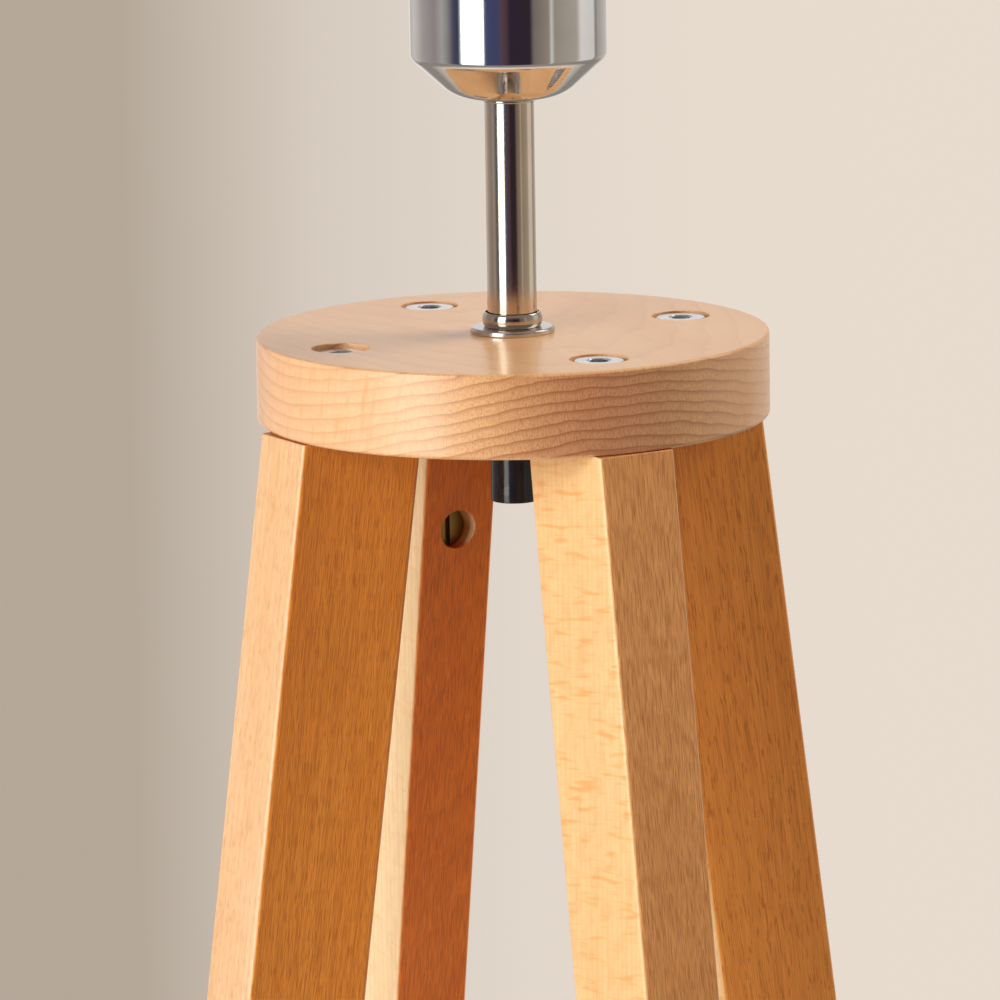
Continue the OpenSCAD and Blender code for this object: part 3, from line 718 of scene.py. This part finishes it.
def make_stem():
    r, low, high = span("swivel_bush")
    turned_piece("swivel_bush_tube", [
        (PIN_HOLE_R, low, 0.3), (r, low, 0.35), (r, low + 3, 2), (r - 0.15, low + 6, 2),
        (r - 0.15, high - 0.01, 0), (PIN_HOLE_R, high - 0.01, 0)],
        BLACK, "swivel_bush")
    r, low, high = span("stem_washer")
    turned_piece("stem_washer_ring", [
        (PIN_HOLE_R, low, 0), (r, low, 0.35), (r, high, 0.9), (PIN_HOLE_R, high, 0)],
        WASHER_STEEL, "stem_washer")
    r, low, high = span("stem_tube")
    hole_r, lip = r + FIT, r + 0.8
    turned_piece("stem_chrome_tube", [
        (r - STEM_WALL, low, 0), (r, low, 0.3), (r, high, 0.3), (r - STEM_WALL, high, 0)],
        STEM_CHROME_PAINTED_WARM, "stem_tube")
    # the collar bulges, and has a hollow round the stem at its top
    r, low, high = span("stem_collar")
    middle, half, swell, hollow = (low + high) / 2, (high - low) / 2, 0.7, 1.8
    bulge = [(r - 2 * swell * (1 - math.cos(a)), middle + half * math.sin(a) / math.sin(PI / 3))
             for a in (math.radians(-60 + 7.5 * k) for k in range(17))]
    outline = [(hole_r, low), *bulge, (lip, high), (lip, high - hollow), (hole_r, high - hollow)]
    collar = smooth(lathe("stem_collar_ring", outline, ROUND), 40)
    stand_for(collar, COLLAR_CHROME_PAINTED_DARK, "stem_collar")
    r, low, high = span("cup_neck_ring")
    turned_piece("cup_neck_trim", [(hole_r, low, 0), (r, low, 0.5), (r, high, 0.3), (hole_r, high, 0)],
                 STEM_CHROME_PAINTED_WARM, "cup_neck_ring")


CUP_FOOT_R, CUP_CHAMFER, CUP_WALL = 18.6, 14.5, 1.5
CUP_FOOT_BEND, CUP_CORNER_BEND = 18, 4
GROMMET_HOLE_R = 5.05


def make_cup():
    """A shell of one thickness, with a rounded chamfer below and a hole for the grommet at the back."""
    r, low, high = span("cup_shell")
    hole_r = span("stem_tube")[0] + FIT
    corner, foot = Vector((r, low + CUP_CHAMFER)), Vector((CUP_FOOT_R, low))
    slope = math.atan2(corner.y - foot.y, corner.x - foot.x)
    inner_corner = corner + CUP_WALL * Vector((-1, math.tan((PI / 2 - slope) / 2)))
    inner_foot = foot + CUP_WALL * Vector((-math.tan(slope / 2), 1))
    outline = fillet([
        (hole_r, low, 0), (*foot, CUP_FOOT_BEND), (*corner, CUP_CORNER_BEND), (r, high, 0.6),
        (r - CUP_WALL, high, 0.5), (*inner_corner, CUP_CORNER_BEND - CUP_WALL),
        (*inner_foot, CUP_FOOT_BEND - CUP_WALL), (hole_r, low + CUP_WALL, 0)], 12)
    shell = lathe("cup_chrome_shell", outline, FINE_ROUND)
    grommet_z = sum(limit.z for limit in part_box("cable_grommet")) / 2 / MM
    cut(shell, rod(GROMMET_HOLE_R, 15, at(-r - 5, 0, grommet_z, 90)))
    smooth(shell, 30)
    stand_for(shell, CHROME, "cup_shell")


# ---------- springs ----------

COIL_R, WIRE_R, COIL_PITCH = 5.4, 1.1, 2.9
HOOK_R = 4.2
# from the high pin to the coil, and from the low pin to it on each arm
TAIL, LOWER_LEAD, UPPER_LEAD = 25, 38, 48


def hook(centre, sign):
    """A loop round a pin and a bend on to the spring's axis, as (along, across) points from the open end."""
    first, last, steps = math.radians(-240), math.radians(50), 26
    loop = [(HOOK_R * math.sin(a), HOOK_R * math.cos(a))
            for a in (first + (last - first) * k / steps for k in range(steps + 1))]
    # a smooth curve from the loop's last point, along its tangent, to the axis
    p, t, q = loop[-1], (math.cos(last), -math.sin(last)), (2.2 * HOOK_R, 0)
    stretch = 1.3 * HOOK_R
    for k in range(1, 8):
        u = k / 7
        h = (2 * u**3 - 3 * u**2 + 1, u**3 - 2 * u**2 + u, 3 * u**2 - 2 * u**3, u**3 - u**2)
        loop.append((h[0] * p[0] + h[1] * t[0] * stretch + h[2] * q[0] + h[3] * stretch,
                     h[0] * p[1] + h[1] * t[1] * stretch + h[2] * q[1]))
    return [(centre + sign * along, across) for along, across in loop]


def make_spring(node, low_pin, high_pin, lead):
    """A close-wound coil between hooks on two pins."""
    start, end = ((Vector(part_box(pin)[0]) + Vector(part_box(pin)[1])) / 2 for pin in (low_pin, high_pin))
    start.y = end.y = sum(corner.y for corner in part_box(node)) / 2
    axis, sideways = (end - start).normalized(), Vector((0, 1, 0))
    across = axis.cross(sideways)
    reach = (end - start).length / MM
    first, last = lead + WIRE_R, reach - TAIL - WIRE_R
    turns = round((last - first) / COIL_PITCH)
    path = [(along, out, 0) for along, out in hook(0, 1)]
    per_turn, ease, spread = 16, 10, 0.25
    # out from the axis to the coil over the first stretch, round and round, and back to the axis
    count = turns * per_turn
    for k in range(-ease, count + ease + 1):
        edge = min(k + ease, count + ease - k) / ease
        radius = COIL_R * (1 if edge >= 1 else edge * edge * (3 - 2 * edge))
        along = first + (last - first) * k / count
        along += (min(0, k) + max(0, k - count)) * spread
        angle = 2 * PI * k / per_turn
        path.append((along, radius * math.cos(angle), radius * math.sin(angle)))
    path += [(along, out, 0) for along, out in reversed(hook(reach, -1))]
    points = [start + (u * axis + v * across + w * sideways) * MM for u, v, w in path]
    spring = smooth(sweep(node + "_coil", points, WIRE_R * MM, 8), 50)
    spring.data.materials.append(SPRING_WIRE)
    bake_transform(spring)
    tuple(start)
    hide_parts(node)


def make_springs():
    for side in ("left", "right"):
        make_spring("lower_spring_" + side, "bracket_spring_pin", "lower_spring_pin", LOWER_LEAD)
        make_spring("upper_spring_" + side, "elbow_spring_pin", "upper_spring_pin", UPPER_LEAD)


# ---------- shade ----------

SHADE_PLACE = Matrix.Translation(JOINT_AT["shade_tilt"]) @ at(0, 0, 0, -15)
NECK_R, NECK_TOP, NECK_H = 30.0, -36.0, 55.0
MOUTH_R, DOME_H, SKIRT_H, SHADE_WALL, LIP_R = 95.0, 110.0, 4.0, 1.2, 1.2
SWITCH_DROP, SWITCH_HOLE_R = 62.0, 6.05


def make_shade():
    """A straight neck, an elliptic dome and a rolled lip: plated outside and white inside."""
    dome_top = NECK_TOP - NECK_H
    mouth = dome_top - DOME_H
    steps = 40

    def dome(inset):
        width, height = MOUTH_R - NECK_R - inset, DOME_H - inset
        return [(NECK_R + width * math.sin(PI / 2 * k / steps), mouth + height * math.cos(PI / 2 * k / steps))
                for k in range(steps + 1)]

    lip = [(MOUTH_R - SHADE_WALL / 2 + LIP_R * math.cos(a), mouth - SKIRT_H + LIP_R * math.sin(a))
           for a in (math.radians(60 - 25 * k) for k in range(13))]
    outside = [(NECK_R, NECK_TOP), (NECK_R, dome_top + 1.5), (NECK_R + 0.5, dome_top + 0.4), *dome(0)[1:]]
    inner_r = NECK_R - SHADE_WALL
    inside = [*reversed(dome(SHADE_WALL)), (inner_r, dome_top - SHADE_WALL), (inner_r, NECK_TOP)]
    outline = outside + lip + inside
    plated = len(outside) + len(lip) // 2
    shade = lathe("shade_dome", outline, FINE_ROUND, slots=[int(i >= plated) for i in range(len(outline))])
    shade.data.materials.append(PLATED)
    shade.data.materials.append(ENAMEL)
    cut(shade, rod(SWITCH_HOLE_R, 10, at(-NECK_R - 5, 0, -SWITCH_DROP, 90)))
    shade.data.transform(SHADE_PLACE)
    stand_for(smooth(shade, 35), None, "shade")


# ---------- everything else: the CAD shapes with softened edges ----------

# the arms' flat bars and plates
FLAT_NODES = ("lower_bar", "lower_link_bar", "upper_bar", "upper_link_bar", "pivot_bracket",
              "elbow_plate_left", "elbow_plate_right", "head_plate_left", "head_plate_right")
LOOKS = {"beech": DOWEL_WOOD, "black_plastic": BLACK, "zinc_steel": ZINC, "brass": BRASS, "chrome": CHROME,
         "polished_aluminium": PLATED, "opal_glass": OPAL, "white_plastic": WHITE}
SPECIAL_LOOKS = {**dict.fromkeys(("elbow_knob", "head_knob", "foot_glides"), BLACK_MATT),
                 **dict.fromkeys(("stem_head", "cup_nut", "swivel_pin"), STEEL),
                 **dict.fromkeys(FLAT_NODES, CHROME_SATIN)}
# how far hard edges are softened, in millimetres: on most nodes, and on the others
USUAL_EDGE = 0.3
SOFTENED = {"lower_bar": 0.9, "lower_link_bar": 0.9, "upper_bar": 0.9, "upper_link_bar": 0.9,
            "foot_glides": 0.5, "cup_lid": 0.5, "elbow_knob": 0.5, "head_knob": 0.5, "bulb_glass": 0,
            "bulb_cap": 0.1, "lampholder": 0.5, "pivot_bracket": 0.4, "shade_knuckle": 0.5}


def finish_other_nodes():
    """Finishes the nodes that no new mesh stands for, and gives back the pieces of the flat ones."""
    finished = {}
    for part in frame["record"]["subparts"]:
        node = part["node"]
        if not frame["nodes"][node].hide_render:
            piece = finished[node] = refined(node, SOFTENED.get(node, USUAL_EDGE))
            piece.data.materials.clear()
            piece.data.materials.append(SPECIAL_LOOKS.get(node, LOOKS[part["material_slot"]]))
    return [finished[node] for node in FLAT_NODES]


# ---------- stage ----------

# what polished metal sees round the lamp: azimuths from the camera's, in degrees, and colours
SURROUNDINGS = (
    (-180, (0.92, 0.88, 0.85)), (-166, (0.90, 0.86, 0.83)), (-163, (0.50, 0.46, 0.43)),
    (-146, (0.62, 0.58, 0.54)), (-136, (0.56, 0.51, 0.48)), (-118, (0.38, 0.33, 0.32)),
    (-96, (0.30, 0.25, 0.25)), (-84, (0.40, 0.37, 0.36)),
    (-76, (0.28, 0.25, 0.25)), (-68, (0.08, 0.08, 0.11)), (-60, (0.02, 0.03, 0.07)),
    (-58, (0.5, 0.5, 0.5)), (-29, (0.5, 0.5, 0.5)), (-27, (0.05, 0.06, 0.14)), (-11, (0.06, 0.06, 0.13)),
    (-9, (0.10, 0.06, 0.08)), (-2, (0.08, 0.045, 0.055)), (2, (0.03, 0.02, 0.035)),
    (26, (0.03, 0.02, 0.03)), (30, (0.20, 0.16, 0.14)), (49, (0.30, 0.25, 0.21)),
    (52, (0.66, 0.62, 0.58)), (56, (0.32, 0.28, 0.23)), (88, (0.42, 0.37, 0.31)), (95, (0.74, 0.70, 0.65)),
    (120, (0.70, 0.66, 0.61)), (124, (0.24, 0.21, 0.19)), (130, (0.40, 0.36, 0.33)),
    (170, (0.62, 0.58, 0.54)), (180, (0.92, 0.88, 0.85)))
# the wall behind, from left to right: turns from the camera's own line in degrees, and colours
PALE_WALL, SHADED_WALL = (0.80, 0.71, 0.62), (0.46, 0.39, 0.32)
WALL = ((-180, PALE_WALL), (-60, PALE_WALL), (-15, SHADED_WALL), (-2.50, SHADED_WALL),
        (-2.22, (0.61, 0.54, 0.46)), (-0.5, (0.74, 0.66, 0.58)), (1.5, PALE_WALL), (180, PALE_WALL))
# above and below the bands, and how high each sets in, from 0 straight down to 1 straight up
OVERHEAD, UNDERFOOT = (0.30, 0.25, 0.21), (0.28, 0.25, 0.22)
OVERHEAD_FROM, OVERHEAD_FULL, UNDERFOOT_FULL, UNDERFOOT_FROM = 0.60, 0.82, 0.29, 0.36
# how strongly the studio lights the lamp, against how it shows in the metal
DIMMER = 0.3


def make_world():
    """The camera sees a warm wall, with a band of painted shade on it. The lamp sees a studio: bands all round, a
    ceiling and a floor.
    """
    world = bpy.data.worlds.new("studio")
    bpy.context.scene.world = world
    n = Nodes(world)
    way = n.new("SeparateXYZ")
    n.set(way.inputs[0], n.new("TexCoord").outputs["Generated"])
    azimuth = n.math("ARCTAN2", way.outputs["Y"], way.outputs["X"])

    def around(sign, start, colours):
        """The colours at their angles in degrees, counted from start with azimuth's sign."""
        turns = n.math("MULTIPLY_ADD", azimuth, sign / (2 * PI), 2.5 - sign * start / (2 * PI))
        return n.ramp(n.math("FRACT", turns), *(((angle + 180) / 360, colour) for angle, colour in colours))

    bands = around(1, CAMERA_AZIMUTH, SURROUNDINGS)
    wall = around(-1, CAMERA_AZIMUTH + PI, WALL)
    height = n.math("MULTIPLY_ADD", way.outputs["Z"], 0.5, 0.5)
    upward = n.ramp(height, (OVERHEAD_FROM, 0.0), (OVERHEAD_FULL, 1.0))
    downward = n.ramp(height, (UNDERFOOT_FULL, 1.0), (UNDERFOOT_FROM, 0.0))
    studio = n.mix(downward, n.mix(upward, bands, OVERHEAD), UNDERFOOT)
    ray, background = n.new("LightPath").outputs, n.tree.nodes["Background"].inputs
    n.set(background["Color"], n.mix(ray["Is Camera Ray"], studio, wall))
    n.set(background["Strength"], n.math("MULTIPLY_ADD", ray["Is Diffuse Ray"], DIMMER - 1, 1.0))


def make_floor():
    """A pale floor that fades out a long way from the lamp, and glows a little with painted light that evens out
    its brightness.
    """
    # in metres
    solid, gone = 0.45, 1.2
    n = Surface("floor")
    distance = n.new("VectorMath")
    distance.operation = "LENGTH"
    n.set(distance.inputs[0], n.place())
    fade = n.math("DIVIDE", n.math("SUBTRACT", gone, distance.outputs["Value"]), gone - solid)
    fade = n.math("MINIMUM", n.math("MAXIMUM", fade, 0.0), 1.0)
    # the glow in the wall's colour is painted light
    n.finish(Base_Color=(0.50, 0.46, 0.41, 1), Roughness=0.8, Alpha=fade, Emission_Color=(*PALE_WALL, 1),
             Emission_Strength=0.42)
    floor = lathe("floor", [(0, -0.2), (gone / MM, -0.2), (gone / MM, -1.2), (0, -1.2)], 96)
    floor.data.materials.append(n.material)


WARM_WHITE, WARMER_WHITE = (1.0, 0.98, 0.95), (1.0, 0.96, 0.90)


def area_light(name, azimuth, distance, height, aim, size, power, colour, mirrored=True):
    """A light at an azimuth in degrees, turned to the lamp's axis at the height aim. Lengths are metres."""
    light = bpy.data.lights.new(name, "AREA")
    light.shape = "RECTANGLE"
    light.size, light.size_y = size
    light.energy = power
    light.color = colour
    lamp = bpy.data.objects.new(name, light)
    angle = math.radians(azimuth)
    lamp.location = (distance * math.cos(angle), distance * math.sin(angle), height)
    lamp.rotation_euler = (Vector((0, 0, aim)) - lamp.location).to_track_quat("-Z", "Y").to_euler()
    lamp.visible_glossy = mirrored
    bpy.context.scene.collection.objects.link(lamp)
    return lamp


def make_lights(flat_pieces):
    """Two key lights, one from the left and two behind. Only key_glow and back_glow show in the metal.

    The flat pieces are left out of key_glow's light, which would burn them out to white.
    """
    glow = area_light("key_glow", 246.2, 2.2, 1.2, 0.9, (1.1, 1.9), 30, WARM_WHITE)
    flats = bpy.data.collections.new("flat_pieces")
    glow.light_linking.receiver_collection = flats
    for piece in flat_pieces:
        flats.objects.link(piece)
    for member in flats.collection_objects:
        member.light_linking.link_state = "EXCLUDE"
    area_light("key", 257, 2.2, 1.2, 0.9, (1.2, 1.9), 34, WARM_WHITE, False)
    area_light("left", 222, 2.2, 1.1, 0.95, (0.8, 1.4), 14, WARM_WHITE, False)
    area_light("back_glow", 40, 1.8, 2.3, 0.8, (1.2, 1.2), 8, WARMER_WHITE)
    area_light("back", 38, 1.2, 1.8, 0.8, (1.0, 1.0), 22.5, WARMER_WHITE, False)


make_camera()
make_legs()
make_round_top()
make_leg_bolts()
make_barrel_nuts()
make_stem()
make_cup()
make_springs()
make_shade()
flat_pieces = finish_other_nodes()
make_world()
make_floor()
make_lights(flat_pieces)
bpy.context.scene.view_settings.view_transform = "Standard"
